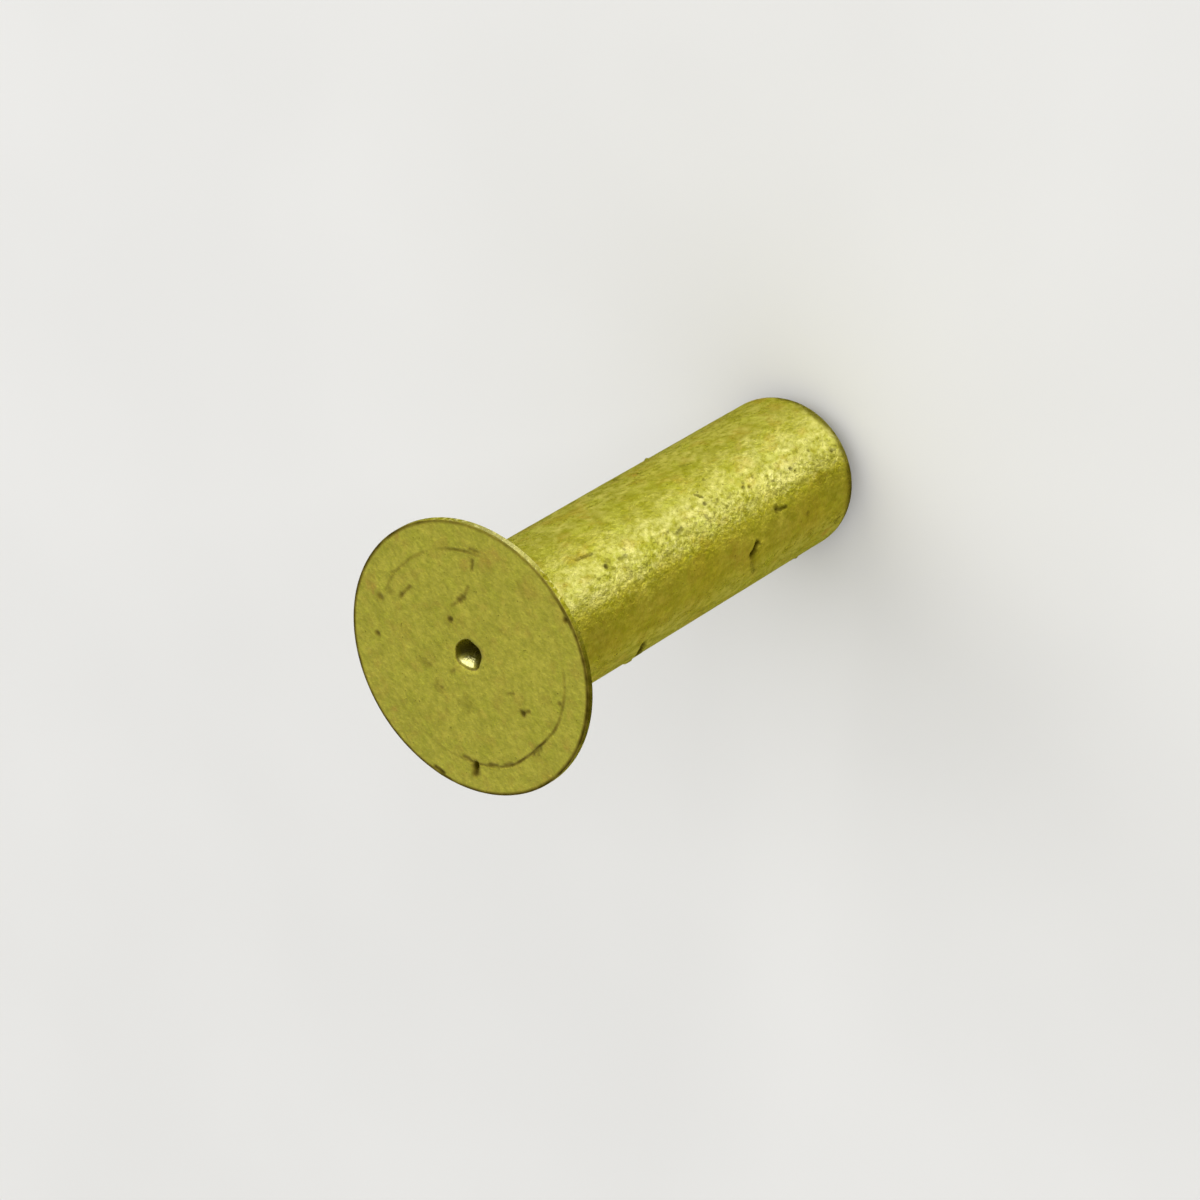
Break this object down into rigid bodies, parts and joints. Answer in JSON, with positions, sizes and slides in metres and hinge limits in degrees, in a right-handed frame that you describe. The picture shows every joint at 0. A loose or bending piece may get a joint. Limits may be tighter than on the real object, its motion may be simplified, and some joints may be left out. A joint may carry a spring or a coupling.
{
  "type": "solid flush rivet",
  "caption": "Solid one-piece rivet with a straight round shank, a rounded tail end and a flat countersunk head with a small centre dimple.",
  "frame": {"origin": "centre of the flat tail end, on the rivet's axis; the rivet stands on this end", "axes": "+Z along the axis from the tail end to the face of the head; X and Y are any two directions square to it, because the rivet is round"},
  "size_m": [0.0056, 0.0056, 0.011],
  "materials": {
    "coated_alloy": "satin, thin yellow-green conversion coating"
  },
  "bodies": {
    "root": {"rivet": "coated_alloy"}
  },
  "joints": []
}
